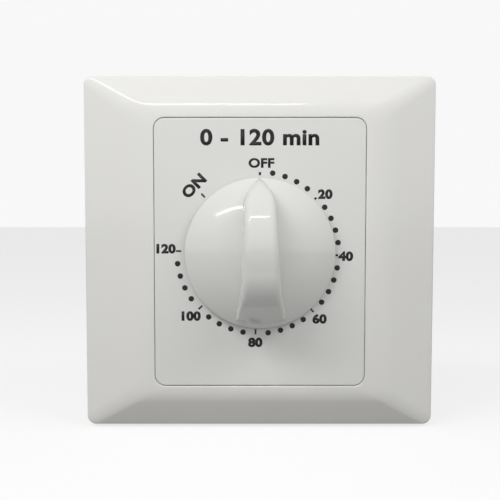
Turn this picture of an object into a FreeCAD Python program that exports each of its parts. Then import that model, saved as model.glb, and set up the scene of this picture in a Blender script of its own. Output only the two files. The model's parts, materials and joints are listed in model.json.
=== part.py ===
import FreeCAD, Part
import os
from math import asin, atan2, cos, degrees, hypot, pi, radians, sin, tan

# A flush wall timer switch on an 86 mm square plate: a turn knob winds a spring movement
# of up to 120 minutes, which opens a pair of contacts when it has run down.
#
# Frame: +X to the right as seen from the front, +Z up, and -Y out of the wall towards the
# viewer. The origin is the middle of the plate on the wall's face, between the two wall
# screws. All sizes are in millimetres.

# Wall plate
plate_size = 86.0
plate_corner_r = 2.5
plate_front = 8.5
plate_edge = 2.4
cover_wall = 1.8
cover_roof = 2.0
hollow_edge = 1.9
hollow_gap = 0.25

# Rear housing. The panel reaches past it above and below
housing_width = 46.0
housing_height = 54.0
housing_depth = 26.0
housing_corner_r = 2.5
housing_wall = 1.8
housing_gap = 0.3
flange_side = 1.1
flange_side_gap = 0.2
flange_end = 4.4
flange_t = 1.8

# Panel in the middle of the plate
panel_width = 50.6
panel_over = 5.15
panel_height = housing_height + 2 * panel_over
panel_corner_r = 2.8
panel_t = 2.2
panel_groove = 0.25
panel_rim = 1.75
panel_rim_t = 1.5
panel_rim_width = 2.0
panel_screw_x = 12.0
panel_boss_r = 3.2

# Yoke that the wall screws hold
yoke_setback = 3.0
yoke_size = plate_size - 2 * yoke_setback
yoke_corner_r = 2.0
yoke_t = 2.4
yoke_skin = 0.4
tower_wall = 1.6
wall_screw_spacing = 60.3
wall_slot_r = 2.2
wall_slot_length = 7.0
snap_length = 8.0
snap_reach = 0.8
snap_t = 0.8
snap_gap = 0.1
snap_offset = 22.0

# Fasteners
screw_r = 1.5
screw_head_r = 2.6
screw_head_t = 1.2
screw_cut_depth = 0.7
screw_cut_width = 0.7
small_screw_r = 1.0
small_head_r = 1.8
screw_clearance = 0.1
screw_end = 1.2
housing_screw_x = 16.0
housing_screw_z = housing_height / 2 + flange_end / 2

# Knob
knob_r = 17.95
knob_gap = 0.8
knob_edge = 1.3
knob_dome = 3.6
knob_height = 17.0
knob_shell = 1.3
knob_rim_wall = 1.6
dome_half_share = 0.76
knob_hollow_r = 11.5
knob_hub_r = 6.5
grip_tip_z = 17.85
grip_top_z = 1.5
grip_tail_z = -16.5
grip_half_top = 4.05
grip_half_tail = 6.0
grip_flare = 0.4
grip_tail_h = 2.6
grip_tail_bow = 1.0
grip_point_length = 8.2
clip_t = 0.4
clip_width = 4.0
clip_length = 9.0
clip_setback = 1.5

# Spindle and what turns with it
spindle_r = 3.0
spindle_flat = 2.2
spindle_rear = 17.6
spindle_cover = 3.0
flat_over = 0.1
run_gap = 0.05
bush_r = 4.2
bush_collar_r = 5.2
bush_collar_t = 1.0
bush_length = 3.0
shaft_hole_r = 5.6
clutch_seat_r = 6.0
clutch_seat_t = 0.8
clutch_spring_t = 0.4
clutch_spring_h = 1.0
clutch_spring_gap = 0.2
clutch_spring_over = 0.9
seat_over = 0.6
collar_r = 4.6
collar_t = 0.8
turn_low = -45.0
turn_high = 270.0
stop_ring_r = 7.0
stop_pin_r = 0.8
stop_arm_t = 0.8
stop_arm_over = 1.0
stop_pin_over = 0.2
stop_pin_angle = 45.0
ring_clip_t = 0.6
ring_clip_r = 4.4
ring_groove_depth = 0.6

# Movement plates
bearing_plate_t = 0.8
rear_plate_t = 1.0
plate_inset_side = 0.5
plate_inset_end = 0.3
movement_space = 13.2
rear_plate_gap = 1.0
rear_plate_width = housing_width - 2 * (housing_wall + rear_plate_gap)
rear_plate_height = housing_height - 2 * (housing_wall + rear_plate_gap)
bearing_plate_corner_r = 2.0
pillar_r = 2.2
pillar_stub_r = 1.5
pillar_bore = 3.0
pillar_screw_grip = 2.5
pillar_inset = 2.7
pillar_x = rear_plate_width / 2 - pillar_inset
pillar_z = rear_plate_height / 2 - pillar_inset
pivot_r = 0.5
arbor_r = 0.9
end_float = 0.15
pivot_end = 0.1

# Mainspring and its cup
cup_r = 10.0
cup_wall = 0.6
cup_depth = 5.6
cup_ear_r = 1.4
cup_ear_reach = 11.2
cup_ear_angles = (30.0, 150.0, 240.0)
cup_rivet_r = 0.7
cup_ear_t = 1.0
cup_hole_gap = 0.6
spring_float = 0.1
spring_band = 0.5
spring_pitch = 1.25
spring_first_r = 3.4
spring_turns = 4
spring_height = 3.4

# Gear train: tooth counts and modules of the three meshes
module_a = 0.5
module_b = 0.4
main_teeth = 48
second_teeth = 40
third_teeth = 36
pinion_teeth = 12
wheel_t = 0.8
main_wheel_t = 1.2
pinion_over = 0.6
train_angle_a = 150.0
train_angle_b = 262.0
train_angle_c = 300.0
pinion_back_over = 0.3
pinion_front_over = 0.35
hub_over = 0.5
wheel_rim = 1.9
hub_web = 1.2
spoke_width = 1.6

# Escapement
escape_teeth = 15
escape_r = 6.0
escape_root_r = 4.4
escape_drop_angle = 9.0
escape_rim = 1.1
escape_hub = 1.3
escape_spoke = 1.2
escape_to_lever = 8.4
lever_angle = 336.0
balance_angle = 8.0
pallet_reach = 2.8
pallet_spread = 50.0
pallet_pin_r = 0.35
pallet_pin_over = 0.5
lever_t = 0.8
lever_arbor_r = 0.6
lever_width = 1.4
fork_depth = 1.9
fork_half = 0.62
fork_over = 0.5
fork_web = 0.6
horn = 0.7
impulse_reach = 3.0
impulse_pin_r = 0.35
lever_length = 7.6
roller_r = 3.7
roller_t = 0.4
impulse_pin_over = 0.2
staff_r = 0.7
balance_r = 6.3
balance_rim = 1.1
balance_t = 1.4
balance_hub_r = 1.7
balance_spoke = 1.3
balance_web = 0.4
hairspring_t = 0.15
hairspring_pitch = 0.6
hairspring_first_r = 1.0
hairspring_turns = 5
hairspring_height = 0.6
hairspring_y = 0.2
stud_r = 0.6
stud_over = 0.3

# Switch
cam_r = 8.0
cam_t = 4.5
cam_hub_r = 5.0
cam_start = 1.0
cam_hub_over = 0.7
cam_hub_front = 0.7
blade_x = 9.2
blade_t = 0.3
fixed_blade_t = 0.4
blade_width = 4.4
blade_set = 0.75
blade_top = 12.5
blade_foot = housing_wall + screw_head_t - housing_height / 2
nose_r = 2.2
nose_gap = 0.5
contact_gap = 1.7
contact_r = 1.6
contact_t = 0.7
contact_shank_r = 0.8
contact_tail_t = 0.3
contact_z = 10.5
carrier_height = 5.5
carrier_side = 3.2
carrier_margin = 0.6
carrier_screw_inset = 1.2
carrier_depth = 7.5

# Terminals
terminal_size = 7.0
carrier_low = blade_foot + terminal_size
carrier_high = carrier_low + carrier_height
terminal_gap = 2.0
terminal_bore_r = 1.6
terminal_bore_end = 1.8
wire_window = 6.0
driver_hole_r = 2.6
terminal_head_r = 2.3
screw_back_off = 0.1

# Gaps along Y between the pieces of the movement
seat_gap = 0.6
stop_gap = 0.1
third_gap = 0.65
rear_wheels_gap = 1.9
balance_gap = 0.1

# Levels along Y that several pieces share
front_y = -plate_front
panel_back = front_y + panel_t
rim_front = front_y + cover_roof
rim_back = rim_front + panel_rim_t
bearing_front = rim_back
bearing_back = bearing_front + bearing_plate_t
flange_back = bearing_back + flange_t
yoke_front = -yoke_t
rear_front = bearing_back + movement_space
rear_back = rear_front + rear_plate_t
floor_y = housing_depth - housing_wall
knob_base = front_y - knob_gap
knob_top = front_y - knob_height
cup_back = bearing_back + cup_depth

# Levels of the pieces between the plates, from the main wheel's friction seat back
seat_front = cup_back + seat_gap
seat_back = seat_front + clutch_seat_t
main_front = seat_back + run_gap
main_back = main_front + main_wheel_t
collar_front = main_back + clutch_spring_h
collar_back = collar_front + collar_t
stop_front = collar_back + stop_gap
stop_back = stop_front + stop_arm_t
third_front = main_back + third_gap
third_back = third_front + wheel_t
rear_wheels_front = rear_front - rear_wheels_gap
rear_wheels_back = rear_wheels_front + wheel_t
balance_front = third_front + balance_gap
balance_back = balance_front + balance_t
cam_front = rear_back + cam_start
cam_back = cam_front + cam_t
cam_hub_back = cam_back + cam_hub_over
blade_front = cam_front + (cam_t - blade_width) / 2 + blade_set
blade_back = blade_front + blade_width
fixed_blade_x = blade_x + blade_t + 2 * contact_t + contact_gap
terminal_front = rear_back + screw_head_t + terminal_gap


def at_angle(reach, angle, origin=(0.0, 0.0)):
    """A point at a clock angle, in degrees clockwise from the top as seen from the front."""
    a = radians(angle)
    return origin[0] + reach * sin(a), origin[1] + reach * cos(a)


def mesh_reach(teeth, leaves, module):
    return module * (teeth + leaves) / 2


second_at = at_angle(mesh_reach(main_teeth, pinion_teeth, module_a), train_angle_a)
third_at = at_angle(
    mesh_reach(second_teeth, pinion_teeth, module_b), train_angle_b, second_at
)
escape_at = at_angle(
    mesh_reach(third_teeth, pinion_teeth, module_b), train_angle_c, third_at
)
lever_at = at_angle(escape_to_lever, lever_angle, escape_at)
balance_at = at_angle(lever_length + impulse_reach, balance_angle, lever_at)


def corner_points(points):
    """Where the fillet of each corner (x, z, r) starts and ends, and its middle point."""
    found = []
    for i, (x, z, r) in enumerate(points):
        ax, az = points[i - 1][:2]
        bx, bz = points[(i + 1) % len(points)][:2]
        la, lb = hypot(ax - x, az - z), hypot(bx - x, bz - z)
        ua = ((ax - x) / la, (az - z) / la)
        ub = ((bx - x) / lb, (bz - z) / lb)
        mid = (ua[0] + ub[0], ua[1] + ub[1])
        reach = hypot(*mid)
        if r == 0 or reach < 1e-9:
            found.append(((x, z), (x, z), (x, z)))
            continue
        half = asin(abs(ua[0] * ub[1] - ua[1] * ub[0]) / reach)
        cut = r / tan(half)
        out = r / sin(half) - r
        found.append(
            (
                (x + ua[0] * cut, z + ua[1] * cut),
                (x + ub[0] * cut, z + ub[1] * cut),
                (x + mid[0] / reach * out, z + mid[1] / reach * out),
            )
        )
    return found


def outline(points, lift=None):
    """A closed wire through corners (a, b, r), each rounded to radius r."""
    lift = lift or (lambda a, b: FreeCAD.Vector(a, 0, b))
    corners = corner_points(points)
    edges = []
    for i, (start, end, middle) in enumerate(corners):
        if start != end:
            edges.append(Part.Arc(lift(*start), lift(*middle), lift(*end)).toShape())
        following = corners[(i + 1) % len(corners)][0]
        if hypot(following[0] - end[0], following[1] - end[1]) > 1e-7:
            edges.append(Part.LineSegment(lift(*end), lift(*following)).toShape())
    return Part.Wire(edges)


def sheet(wire, y0, y1):
    """A wire drawn on the front view, as a solid from y0 to y1."""
    face = Part.Face(wire)
    face.translate(FreeCAD.Vector(0, y0, 0))
    return face.extrude(FreeCAD.Vector(0, y1 - y0, 0))


def rounded_block(width, height, r, y0, y1):
    x, z = width / 2, height / 2
    return sheet(outline([(-x, -z, r), (x, -z, r), (x, z, r), (-x, z, r)]), y0, y1)


def block(x0, x1, y0, y1, z0, z1):
    return Part.makeBox(x1 - x0, y1 - y0, z1 - z0, FreeCAD.Vector(x0, y0, z0))


def disc(r, y0, y1, at=(0.0, 0.0)):
    start = FreeCAD.Vector(at[0], y0, at[1])
    return Part.makeCylinder(r, y1 - y0, start, FreeCAD.Vector(0, 1, 0))


def turned(profile):
    """A solid of revolution about the Y axis from corners (radius, y, fillet)."""
    wire = outline(profile, lambda a, b: FreeCAD.Vector(a, b, 0))
    return Part.Face(wire).revolve(FreeCAD.Vector(0, 0, 0), FreeCAD.Vector(0, 1, 0), 360)


def placed(shape, at, angle=0.0):
    """A copy moved to a point of the front view, after a clockwise turn about Y."""
    moved = shape.copy()
    moved.rotate(FreeCAD.Vector(0, 0, 0), FreeCAD.Vector(0, 1, 0), angle)
    moved.translate(FreeCAD.Vector(at[0], 0, at[1]))
    return moved


def joined(shapes):
    first = shapes[0]
    return first.fuse(shapes[1:]).removeSplitter() if len(shapes) > 1 else first


def four(x, z):
    return [(sx * x, sz * z) for sx in (-1, 1) for sz in (-1, 1)]


def screw(r, length, head_r, head_t, point, along):
    """A pan head screw with a slot. Its head's seat is at the point, its shank runs along."""
    shank = Part.makeCylinder(r, length)
    head = Part.makeCylinder(head_r, head_t, FreeCAD.Vector(0, 0, -head_t))
    half = screw_cut_width / 2
    reach = head_r + 1
    cut = Part.makeBox(2 * reach, 2 * half, screw_cut_depth)
    cut.translate(FreeCAD.Vector(-reach, -half, -head_t))
    made = shank.fuse(head).cut(cut)
    turn = FreeCAD.Rotation(FreeCAD.Vector(0, 0, 1), along)
    made.Placement = FreeCAD.Placement(point, turn)
    return made


# Plate, panel and yoke


def arched(half, edge, front, flat, lift):
    """A section from the wall to the front, whose sides curve down from a flat middle."""
    run, drop = half - flat, front - edge
    r = (run * run + drop * drop) / 2 / drop
    turn = atan2(run, r - drop) / 2
    across, level = flat + r * sin(turn), r - r * cos(turn) - front
    edges = [
        Part.LineSegment(lift(-half, 0), lift(half, 0)),
        Part.LineSegment(lift(half, 0), lift(half, -edge)),
        Part.Arc(lift(half, -edge), lift(across, level), lift(flat, -front)),
        Part.LineSegment(lift(flat, -front), lift(-flat, -front)),
        Part.Arc(lift(-flat, -front), lift(-across, level), lift(-half, -edge)),
        Part.LineSegment(lift(-half, -edge), lift(-half, 0)),
    ]
    return Part.Wire([edge.toShape() for edge in edges])


def crowned(size, corner_r, edge, front, flat_x, flat_z):
    """A square plate from the wall to its front, its four sides curved and mitred."""
    half = size / 2
    up = arched(half, edge, front, flat_x, lambda a, b: FreeCAD.Vector(a, b, -half))
    across = arched(half, edge, front, flat_z, lambda a, b: FreeCAD.Vector(-half, b, a))
    upright = Part.Face(up).extrude(FreeCAD.Vector(0, 0, size))
    level = Part.Face(across).extrude(FreeCAD.Vector(size, 0, 0))
    block_out = rounded_block(size, size, corner_r, -front, 0)
    return upright.common(level).common(block_out)


def snap_places(reach, length):
    """Boxes (x0, x1, z0, z1) of the four snap lugs, at the top and bottom edges."""
    half = plate_size / 2 - cover_wall
    return [
        (
            x - length / 2,
            x + length / 2,
            min(side * reach, side * half),
            max(side * reach, side * half),
        )
        for x in (-snap_offset, snap_offset)
        for side in (-1, 1)
    ]


def cover_frame():
    body = crowned(
        plate_size,
        plate_corner_r,
        plate_edge,
        plate_front,
        panel_width / 2 + panel_groove,
        panel_height / 2 + panel_groove,
    )
    hollow = crowned(
        plate_size - 2 * cover_wall,
        plate_corner_r - cover_wall,
        hollow_edge,
        plate_front - cover_roof,
        panel_width / 2 + panel_rim + hollow_gap,
        panel_height / 2 + panel_rim + hollow_gap,
    )
    window = rounded_block(
        panel_width + 2 * panel_groove,
        panel_height + 2 * panel_groove,
        panel_corner_r + panel_groove,
        -plate_front - 1,
        0,
    )
    body = body.cut(hollow).cut(window)
    lugs = []
    for x0, x1, z0, z1 in snap_places(yoke_size / 2 - snap_reach, snap_length):
        lugs.append(block(x0, x1, -snap_t, 0, z0, z1))
    return joined([body] + lugs)


def inner_panel():
    face = rounded_block(panel_width, panel_height, panel_corner_r, front_y, panel_back)
    rim_width = panel_width + 2 * panel_rim
    rim_height = panel_height + 2 * panel_rim
    rim = rounded_block(
        rim_width, rim_height, panel_corner_r + panel_rim, rim_front, rim_back
    )
    inside = rounded_block(
        rim_width - 2 * panel_rim_width,
        rim_height - 2 * panel_rim_width,
        panel_corner_r,
        panel_back,
        rim_back,
    )
    bosses = [
        disc(panel_boss_r, panel_back, bearing_front, (x, 0))
        for x in (-panel_screw_x, panel_screw_x)
    ]
    body = joined([face, rim.cut(inside)] + bosses)
    body = body.cut(disc(shaft_hole_r, front_y, rim_back))
    for x in (-panel_screw_x, panel_screw_x):
        body = body.cut(disc(screw_r, front_y, bearing_front, (x, 0)))
        body = body.cut(disc(screw_head_r, front_y, front_y + screw_head_t, (x, 0)))
    return body


def panel_screws():
    seat = front_y + screw_head_t
    length = bearing_back - seat + screw_end
    return [
        screw(
            screw_r,
            length,
            screw_head_r,
            screw_head_t,
            FreeCAD.Vector(x, seat, 0),
            FreeCAD.Vector(0, 1, 0),
        )
        for x in (-panel_screw_x, panel_screw_x)
    ]


def mounting_yoke():
    base = rounded_block(yoke_size, yoke_size, yoke_corner_r, yoke_front, 0)
    tower_width = housing_width + 2 * (flange_side + flange_side_gap + tower_wall)
    tower_height = housing_height + 2 * (flange_end + housing_gap + tower_wall)
    tower = rounded_block(
        tower_width, tower_height, panel_corner_r, rim_back, yoke_front
    )
    inside = rounded_block(
        tower_width - 2 * tower_wall,
        tower_height - 2 * tower_wall,
        panel_corner_r - tower_wall,
        rim_back,
        yoke_front,
    )
    body = joined([base, tower.cut(inside)])
    window = rounded_block(
        housing_width + 2 * housing_gap,
        housing_height + 2 * housing_gap,
        housing_corner_r + housing_gap,
        yoke_front,
        0,
    )
    body = body.cut(window)
    reach = wall_slot_length / 2 - wall_slot_r
    for side in (-1, 1):
        x = side * wall_screw_spacing / 2
        slot = [
            disc(wall_slot_r, yoke_front, 0, (x - reach, 0)),
            disc(wall_slot_r, yoke_front, 0, (x + reach, 0)),
            block(x - reach, x + reach, yoke_front, 0, -wall_slot_r, wall_slot_r),
        ]
        body = body.cut(joined(slot))
    for at in four(housing_screw_x, housing_screw_z):
        body = body.cut(disc(screw_r, yoke_front, -yoke_skin, at))
    reach = yoke_size / 2 - snap_reach - snap_gap
    for x0, x1, z0, z1 in snap_places(reach, snap_length + 2 * snap_gap):
        body = body.cut(block(x0, x1, -snap_t - snap_gap, 0, z0, z1))
    return body


# Rear housing


def terminal_places():
    """The middle of each terminal block on X. Each block lies against its blade's foot."""
    half = terminal_size / 2
    return [blade_x - half, fixed_blade_x + fixed_blade_t + half]


terminal_z = blade_foot + terminal_size / 2


def rear_housing():
    cup = rounded_block(
        housing_width, housing_height, housing_corner_r, bearing_back, housing_depth
    )
    flange = rounded_block(
        housing_width + 2 * flange_side,
        housing_height + 2 * flange_end,
        bearing_plate_corner_r,
        bearing_back,
        flange_back,
    )
    inside = rounded_block(
        housing_width - 2 * housing_wall,
        housing_height - 2 * housing_wall,
        housing_corner_r - housing_wall,
        bearing_back,
        floor_y,
    )
    body = joined([cup, flange]).cut(inside)
    for at in four(housing_screw_x, housing_screw_z):
        body = body.cut(disc(screw_r + screw_clearance, bearing_back, flange_back, at))
    wall_z = -housing_height / 2
    for x in terminal_places():
        low, high = terminal_z - wire_window / 2, terminal_z + wire_window / 2
        left, right = x - wire_window / 2, x + wire_window / 2
        body = body.cut(block(left, right, floor_y, housing_depth, low, high))
        middle = (terminal_front + floor_y) / 2
        hole = Part.makeCylinder(
            driver_hole_r, housing_wall, FreeCAD.Vector(x, middle, wall_z)
        )
        body = body.cut(hole)
    return body


def housing_screws():
    length = -yoke_skin - bearing_front
    return [
        screw(
            screw_r,
            length,
            screw_head_r,
            screw_head_t,
            FreeCAD.Vector(x, bearing_front, z),
            FreeCAD.Vector(0, 1, 0),
        )
        for x, z in four(housing_screw_x, housing_screw_z)
    ]


# Knob


def crown_arc(apex, end, lift):
    """An arc that leaves the apex (z, height) level and runs down to the end."""
    run, drop = end[0] - apex[0], apex[1] - end[1]
    r = (run * run + drop * drop) / 2 / drop
    half = atan2(abs(run), r - drop) / 2
    across = r * sin(half) if run > 0 else -r * sin(half)
    middle = (apex[0] + across, apex[1] - r + r * cos(half))
    return Part.Arc(lift(*apex), lift(*middle), lift(*end)).toShape()


def ogive_arc(tip, shoulder, way):
    """An arc from the tip to the shoulder that ends along the flared side's way."""
    dx, dz = tip[0] - shoulder[0], tip[1] - shoulder[1]
    nx, nz = -way[1], way[0]
    r = (dx * dx + dz * dz) / 2 / (dx * nx + dz * nz)
    cx, cz = shoulder[0] + r * nx, shoulder[1] + r * nz
    mx, mz = (tip[0] + shoulder[0]) / 2 - cx, (tip[1] + shoulder[1]) / 2 - cz
    stretch = abs(r) / hypot(mx, mz)
    lift = lambda x, z: FreeCAD.Vector(x, 0, z)
    middle = lift(cx + mx * stretch, cz + mz * stretch)
    return Part.Arc(lift(*tip), middle, lift(*shoulder)).toShape()


def grip_plan():
    """The grip's outline from the front: pointed at the top, flaring to its tail."""
    lift = lambda x, z: FreeCAD.Vector(x, 0, z)
    shoulder_z = grip_tip_z - grip_point_length
    widening, fall = grip_half_tail - grip_half_top, shoulder_z - grip_tail_z
    chord = atan2(widening, fall)
    lean = chord - 2 * atan2(2 * grip_flare, hypot(widening, fall))
    middle_x = (grip_half_top + grip_half_tail) / 2 - grip_flare * cos(chord)
    middle_z = (shoulder_z + grip_tail_z) / 2 - grip_flare * sin(chord)
    sides = []
    for side in (-1, 1):
        shoulder = (side * grip_half_top, shoulder_z)
        middle = lift(side * middle_x, middle_z)
        tail = lift(side * grip_half_tail, grip_tail_z)
        point = ogive_arc((0, grip_tip_z), shoulder, (-side * sin(lean), cos(lean)))
        sides.append([point, Part.Arc(lift(*shoulder), middle, tail).toShape()])
    bow = Part.Arc(
        lift(grip_half_tail, grip_tail_z),
        lift(0, grip_tail_z - grip_tail_bow),
        lift(-grip_half_tail, grip_tail_z),
    ).toShape()
    return Part.Wire(sides[1] + [bow] + sides[0][::-1])


def knob_grip():
    """The pointed finger grip: its outline from the front, crossed with its side view."""
    plan = sheet(grip_plan(), knob_top - 1.0, knob_base)
    lift = lambda z, h: FreeCAD.Vector(-knob_r, knob_base - h, z)
    apex = (grip_top_z, knob_height - knob_gap)
    back = grip_tail_z - grip_tail_bow
    corners = [(grip_tip_z, knob_edge), (grip_tip_z, 0), (back, 0), (back, grip_tail_h)]
    view = [crown_arc(apex, corners[0], lift)]
    for start, end in zip(corners, corners[1:]):
        view.append(Part.LineSegment(lift(*start), lift(*end)).toShape())
    view.append(crown_arc(apex, corners[-1], lift))
    face = Part.Face(Part.Wire(view))
    return plan.common(face.extrude(FreeCAD.Vector(2 * knob_r, 0, 0)))


def knob_bore():
    """The D-shaped hole for the spindle, and the pocket of the clip beside its flat."""
    bore = disc(spindle_r, spindle_front(), knob_base)
    flat = block(
        -spindle_r, spindle_r, spindle_front(), knob_base, spindle_flat, spindle_r
    )
    return joined([bore.cut(flat), clip_block()])


def clip_block():
    start = knob_base - clip_setback - clip_length
    half = clip_width / 2
    top = spindle_flat + clip_t
    return block(-half, half, start, start + clip_length, spindle_flat, top)


def spindle_front():
    return knob_top + spindle_cover


def knob():
    rim_y = knob_base - knob_edge
    dome = FreeCAD.Vector(0, rim_y - knob_dome, 0)
    half_r = knob_r / 2
    edges = [
        Part.LineSegment(
            FreeCAD.Vector(0, knob_base, 0), FreeCAD.Vector(knob_r, knob_base, 0)
        ).toShape(),
        Part.LineSegment(
            FreeCAD.Vector(knob_r, knob_base, 0), FreeCAD.Vector(knob_r, rim_y, 0)
        ).toShape(),
        Part.Arc(
            FreeCAD.Vector(knob_r, rim_y, 0),
            FreeCAD.Vector(half_r, rim_y - knob_dome * dome_half_share, 0),
            dome,
        ).toShape(),
        Part.LineSegment(dome, FreeCAD.Vector(0, knob_base, 0)).toShape(),
    ]
    axis = FreeCAD.Vector(0, 1, 0)
    skirt = Part.Face(Part.Wire(edges)).revolve(FreeCAD.Vector(0, 0, 0), axis, 360)
    body = joined([skirt, knob_grip()])
    shallow = disc(knob_r - knob_rim_wall, knob_base - knob_shell, knob_base)
    deep = disc(knob_hollow_r, knob_base - 2 * knob_shell, knob_base)
    hollow = joined([shallow, deep]).cut(
        disc(knob_hub_r, knob_base - 2 * knob_shell, knob_base)
    )
    return body.cut(hollow).cut(knob_bore())


# Spindle


def spindle():
    body = disc(spindle_r, spindle_front(), spindle_rear)
    seat = disc(clutch_seat_r, seat_front, seat_back)
    flat = block(
        -spindle_r,
        spindle_r,
        spindle_front(),
        knob_base + flat_over,
        spindle_flat,
        spindle_r,
    )
    groove = disc(spindle_r, cam_hub_back, cam_hub_back + ring_clip_t).cut(
        disc(spindle_r - ring_groove_depth, cam_hub_back, cam_hub_back + ring_clip_t)
    )
    return joined([body, seat]).cut(flat).cut(groove)


def spindle_bush():
    collar = disc(bush_collar_r, bearing_front - bush_collar_t, bearing_front)
    barrel = disc(bush_r, bearing_front, bearing_front + bush_length - bush_collar_t)
    bore = disc(
        spindle_r + run_gap, bearing_front - bush_collar_t, bearing_front + bush_length
    )
    return joined([collar, barrel]).cut(bore)


def clutch_spring():
    inner, outer = spindle_r + clutch_spring_gap, collar_r + clutch_spring_over
    return turned(
        [
            (inner, collar_front - clutch_spring_t, 0),
            (outer, main_back + run_gap, 0),
            (outer, main_back + run_gap + clutch_spring_t, 0),
            (inner, collar_front, 0),
        ]
    )


def ring(outer_r, inner_r, y0, y1, at=(0.0, 0.0)):
    return disc(outer_r, y0, y1, at).cut(disc(inner_r, y0, y1, at))


def stop_arm():
    """The arm that meets the stop pin at both ends of the knob's turn."""
    free = 360 - (turn_high - turn_low)
    half = stop_ring_r * sin(radians(free / 2)) - stop_pin_r - run_gap
    tongue = block(-half, half, stop_front, stop_back, 0, stop_ring_r + stop_arm_over)
    body = joined([disc(collar_r, stop_front, stop_back), tongue])
    body = body.cut(disc(spindle_r, stop_front, stop_back))
    return placed(body, (0, 0), stop_pin_angle - free / 2 - turn_high)


def cam_clip():
    body = ring(
        ring_clip_r,
        spindle_r - ring_groove_depth,
        cam_hub_back,
        cam_hub_back + ring_clip_t,
    )
    mouth = (spindle_r - ring_groove_depth) * 0.8
    cut = block(
        -mouth, mouth, cam_hub_back, cam_hub_back + ring_clip_t, -ring_clip_r - 1, 0
    )
    return body.cut(cut)


# Movement frame

arbor_places = (second_at, third_at, escape_at, lever_at, balance_at)


def front_bearing_plate():
    body = rounded_block(
        housing_width + 2 * (flange_side - plate_inset_side),
        housing_height + 2 * (flange_end - plate_inset_end),
        bearing_plate_corner_r,
        bearing_front,
        bearing_back,
    )
    holes = [disc(bush_r, bearing_front, bearing_back)]
    for at in arbor_places:
        holes.append(disc(pivot_r + run_gap, bearing_front, bearing_back, at))
    for at in four(pillar_x, pillar_z):
        holes.append(disc(pillar_stub_r, bearing_front, bearing_back, at))
    for at in four(housing_screw_x, housing_screw_z):
        holes.append(disc(screw_r + screw_clearance, bearing_front, bearing_back, at))
    for x in (-panel_screw_x, panel_screw_x):
        holes.append(disc(screw_r, bearing_front, bearing_back, (x, 0)))
    for angle in cup_ear_angles:
        at = at_angle(cup_ear_reach, angle)
        holes.append(disc(cup_rivet_r, bearing_front, bearing_back, at))
    stud = hairspring_end()
    holes.append(disc(stud_r, bearing_front, bearing_back, stud))
    return body.cut(holes)


def rear_bearing_plate():
    body = rounded_block(
        rear_plate_width,
        rear_plate_height,
        bearing_plate_corner_r,
        rear_front,
        rear_back,
    )
    holes = [disc(spindle_r + run_gap, rear_front, rear_back)]
    for at in arbor_places:
        holes.append(disc(pivot_r + run_gap, rear_front, rear_back, at))
    for at in four(pillar_x, pillar_z):
        holes.append(disc(small_screw_r, rear_front, rear_back, at))
    for at in carrier_screw_places():
        holes.append(disc(small_screw_r, rear_front, rear_back, at))
    pin = at_angle(stop_ring_r, stop_pin_angle)
    holes.append(disc(stop_pin_r, rear_front, rear_back, pin))
    return body.cut(holes)


def plate_pillars():
    made = []
    for at in four(pillar_x, pillar_z):
        stub = disc(pillar_stub_r, bearing_front, bearing_back, at)
        post = disc(pillar_r, bearing_back, rear_front, at)
        bore = disc(small_screw_r, rear_front - pillar_bore, rear_front, at)
        made.append(joined([stub, post]).cut(bore))
    return made


def pillar_screws():
    return [
        screw(
            small_screw_r,
            rear_plate_t + pillar_screw_grip,
            small_head_r,
            screw_head_t,
            FreeCAD.Vector(x, rear_back, z),
            FreeCAD.Vector(0, -1, 0),
        )
        for x, z in four(pillar_x, pillar_z)
    ]


def stop_pin():
    at = at_angle(stop_ring_r, stop_pin_angle)
    return disc(stop_pin_r, stop_front - stop_pin_over, rear_back, at)


# Mainspring


def mainspring_cup():
    body = ring(cup_r, cup_r - cup_wall, bearing_back, cup_back - cup_wall)
    floor = disc(cup_r, cup_back - cup_wall, cup_back)
    parts = [body, floor]
    for angle in cup_ear_angles:
        at = at_angle(cup_ear_reach, angle)
        ear = disc(cup_ear_r, bearing_back, bearing_back + cup_ear_t, at)
        parts.append(ear.cut(disc(cup_r - cup_wall / 2, bearing_back, cup_back)))
        parts.append(disc(cup_rivet_r, bearing_front, bearing_back, at))
    return joined(parts).cut(disc(spindle_r + cup_hole_gap, cup_back - cup_wall, cup_back))


def spiral(first_r, pitch, band, turns):
    """A flat spiral band of half circles, from +X outwards by whole turns and a half."""
    lanes = []
    for r in (first_r, first_r + band):
        arcs = []
        for n in range(turns + 1):
            here = r + n * pitch
            arcs.append(half_circle(0.0, here, 1))
            if n < turns:
                arcs.append(half_circle(pitch / 2, here + pitch / 2, -1))
        lanes.append(arcs)
    inner, outer = lanes
    last = first_r + turns * pitch
    start = Part.LineSegment(
        FreeCAD.Vector(first_r + band, 0, 0), FreeCAD.Vector(first_r, 0, 0)
    ).toShape()
    end = Part.LineSegment(
        FreeCAD.Vector(-last, 0, 0), FreeCAD.Vector(-last - band, 0, 0)
    ).toShape()
    return Part.Wire(inner + [end] + outer[::-1] + [start])


def half_circle(centre_x, r, side):
    """Half a circle about a centre on the X axis, above it (side 1) or below it (-1)."""
    return Part.Arc(
        FreeCAD.Vector(centre_x + side * r, 0, 0),
        FreeCAD.Vector(centre_x, 0, side * r),
        FreeCAD.Vector(centre_x - side * r, 0, 0),
    ).toShape()


def mainspring():
    band = spiral(spring_first_r, spring_pitch, spring_band, spring_turns)
    start = cup_back - cup_wall - spring_float - spring_height
    return sheet(band, start, start + spring_height)


def hairspring_end():
    reach = hairspring_first_r + hairspring_turns * hairspring_pitch + hairspring_t
    return balance_at[0] - reach - stud_r, balance_at[1]


def hairspring():
    band = spiral(
        hairspring_first_r, hairspring_pitch, hairspring_t, hairspring_turns
    )
    flat = sheet(band, hairspring_y, hairspring_y + hairspring_height)
    return placed(flat, balance_at)


def hairspring_stud():
    top = hairspring_y + hairspring_height + stud_over
    return disc(stud_r, bearing_front, top, hairspring_end())


# Gears


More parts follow.
